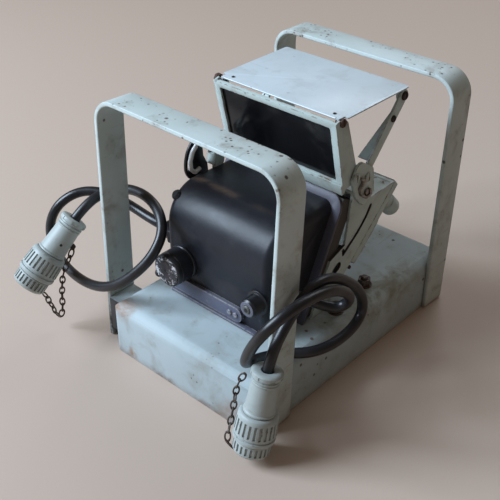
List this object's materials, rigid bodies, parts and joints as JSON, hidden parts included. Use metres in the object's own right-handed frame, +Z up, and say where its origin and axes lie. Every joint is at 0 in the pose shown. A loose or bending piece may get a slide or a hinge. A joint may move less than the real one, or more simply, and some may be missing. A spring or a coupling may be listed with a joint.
{
  "type": "fresnel spotlight",
  "caption": "Portable floor spotlight: black lamp head on an upturned sheet-metal pan, flat-bar guard hoops, folding hood with a dark pane and capped plug leads.",
  "frame": {"origin": "on the floor, at the middle of the pan's length and of the guard hoops' width", "axes": "+Z up, +Y along the pan from the control side to the lit side, +X to the right when facing the controls"},
  "size_m": [0.271, 0.2746, 0.204],
  "materials": {
    "pale_paint": "satin, worn and chipped",
    "plug_paint": "satin",
    "black_enamel": "satin, rubbed",
    "rim_paint": "satin",
    "dark_steel": "rusted",
    "worn_metal": "worn to bare metal at the face",
    "bright_steel": "satin",
    "black_rubber": "matt",
    "button_plastic": "matt",
    "clear_glass": "clear",
    "dark_glass": "glossy",
    "polished_mirror": "polished",
    "lamp_brass": "satin"
  },
  "bodies": {
    "lamp": {"base_pan": "pale_paint", "button_bezel": "black_enamel", "door_hinge_pin": "dark_steel", "far_guard_hoop": "pale_paint", "far_hoop_spacer": "black_enamel", "foot_screws": "dark_steel", "foot_strip": "rim_paint", "front_frame": "pale_paint", "head_shell": "black_enamel", "knob_collar": "black_enamel", "lamp_bulb": "clear_glass", "lamp_socket": "lamp_brass", "latch_bracket": "pale_paint", "left_cap_chain": "dark_steel", "left_cord_gland": "black_enamel", "left_hood_ear": "pale_paint", "left_lead": "black_rubber", "left_panel_pivot_screw": "pale_paint", "left_plug_body": "plug_paint", "left_plug_gland": "plug_paint", "near_guard_hoop": "pale_paint", "near_hoop_spacer": "black_enamel", "pan_nuts": "dark_steel", "reflector": "polished_mirror", "right_cap_chain": "dark_steel", "right_cord_gland": "black_enamel", "right_hood_ear": "pale_paint", "right_lead": "black_rubber", "right_panel_pivot_screw": "pale_paint", "right_plug_body": "plug_paint", "right_plug_gland": "plug_paint", "rim_frame": "rim_paint", "shell_screw": "dark_steel", "socket_bracket": "dark_steel", "strut_clip": "bright_steel", "throat_sleeve": "black_enamel"},
    "hood_panel": {"hood_near_panel": "pale_paint", "hood_dark_pane": "dark_glass", "pane_retainer": "pale_paint", "left_top_pivot_pin": "dark_steel", "right_top_pivot_pin": "dark_steel"},
    "hood_top": {"hood_top_plate": "pale_paint"},
    "left_strut": {"left_hood_strut": "pale_paint", "left_strut_pin": "dark_steel"},
    "right_strut": {"right_hood_strut": "pale_paint", "right_strut_pin": "dark_steel"},
    "door": {"front_door": "pale_paint", "lens_bezel": "pale_paint", "lens_gasket": "black_rubber", "fresnel_lens": "clear_glass"},
    "door_screw": {"door_knob": "pale_paint"},
    "selector": {"selector_knob": "worn_metal"},
    "button": {"push_button": "button_plastic"},
    "latch": {"latch_hook": "bright_steel", "latch_strap": "black_rubber"},
    "left_coupling": {"left_plug_coupling": "plug_paint"},
    "left_cap": {"left_plug_cap": "plug_paint"},
    "right_coupling": {"right_plug_coupling": "plug_paint"},
    "right_cap": {"right_plug_cap": "plug_paint"}
  },
  "joints": [
    {"name": "hood_tilt", "type": "hinge", "parent": "lamp", "child": "hood_panel", "pos_m": [0.003, 0.009, 0.149], "axis": [1, 0, 0], "range_deg": [0, 12]},
    {"name": "hood_top_lift", "type": "hinge", "parent": "hood_panel", "child": "hood_top", "pos_m": [0.003, -0.0072, 0.1968], "axis": [1, 0, 0], "range_deg": [0, 70]},
    {"name": "left_strut_swing", "type": "hinge", "parent": "hood_top", "child": "left_strut", "pos_m": [-0.054, 0.0655, 0.193], "axis": [1, 0, 0], "range_deg": [0, 35]},
    {"name": "right_strut_swing", "type": "hinge", "parent": "hood_top", "child": "right_strut", "pos_m": [0.06, 0.0655, 0.193], "axis": [1, 0, 0], "range_deg": [0, 35]},
    {"name": "door_drop", "type": "hinge", "parent": "lamp", "child": "door", "pos_m": [0.003, 0.01274, 0.0699], "axis": [-1, 0, 0], "range_deg": [0, 18]},
    {"name": "door_screw_turn", "type": "hinge", "parent": "door", "child": "door_screw", "pos_m": [0.047, 0.05999, 0.11093], "axis": [0, 0.6934, -0.7206], "continuous": true},
    {"name": "selector_turn", "type": "hinge", "parent": "lamp", "child": "selector", "pos_m": [-0.032, -0.091, 0.0765], "axis": [0, -1, 0], "range_deg": [0, 240]},
    {"name": "button_press", "type": "slide", "parent": "lamp", "child": "button", "axis": [0, 1, 0], "range_m": [0, 0.003], "stiffness_N_per_m": 400, "springref_m": -0.001},
    {"name": "latch_swing", "type": "hinge", "parent": "lamp", "child": "latch", "pos_m": [-0.0515, -0.0155, 0.146], "axis": [-1, 0, 0], "range_deg": [0, 40]},
    {"name": "left_coupling_turn", "type": "hinge", "parent": "lamp", "child": "left_coupling", "pos_m": [-0.13, -0.1495, 0.0465], "axis": [-0.194, -0.663, -0.723], "continuous": true},
    {"name": "left_cap_turn", "type": "hinge", "parent": "lamp", "child": "left_cap", "pos_m": [-0.13, -0.1495, 0.0465], "axis": [-0.194, -0.663, -0.723], "range_deg": [0, 90]},
    {"name": "right_coupling_turn", "type": "hinge", "parent": "lamp", "child": "right_coupling", "pos_m": [0.0896, -0.1312, 0.0062], "axis": [-0.037, -0.209, -0.9772], "continuous": true},
    {"name": "right_cap_turn", "type": "hinge", "parent": "lamp", "child": "right_cap", "pos_m": [0.0896, -0.1312, 0.0062], "axis": [-0.037, -0.209, -0.9772], "range_deg": [0, 90]}
  ]
}
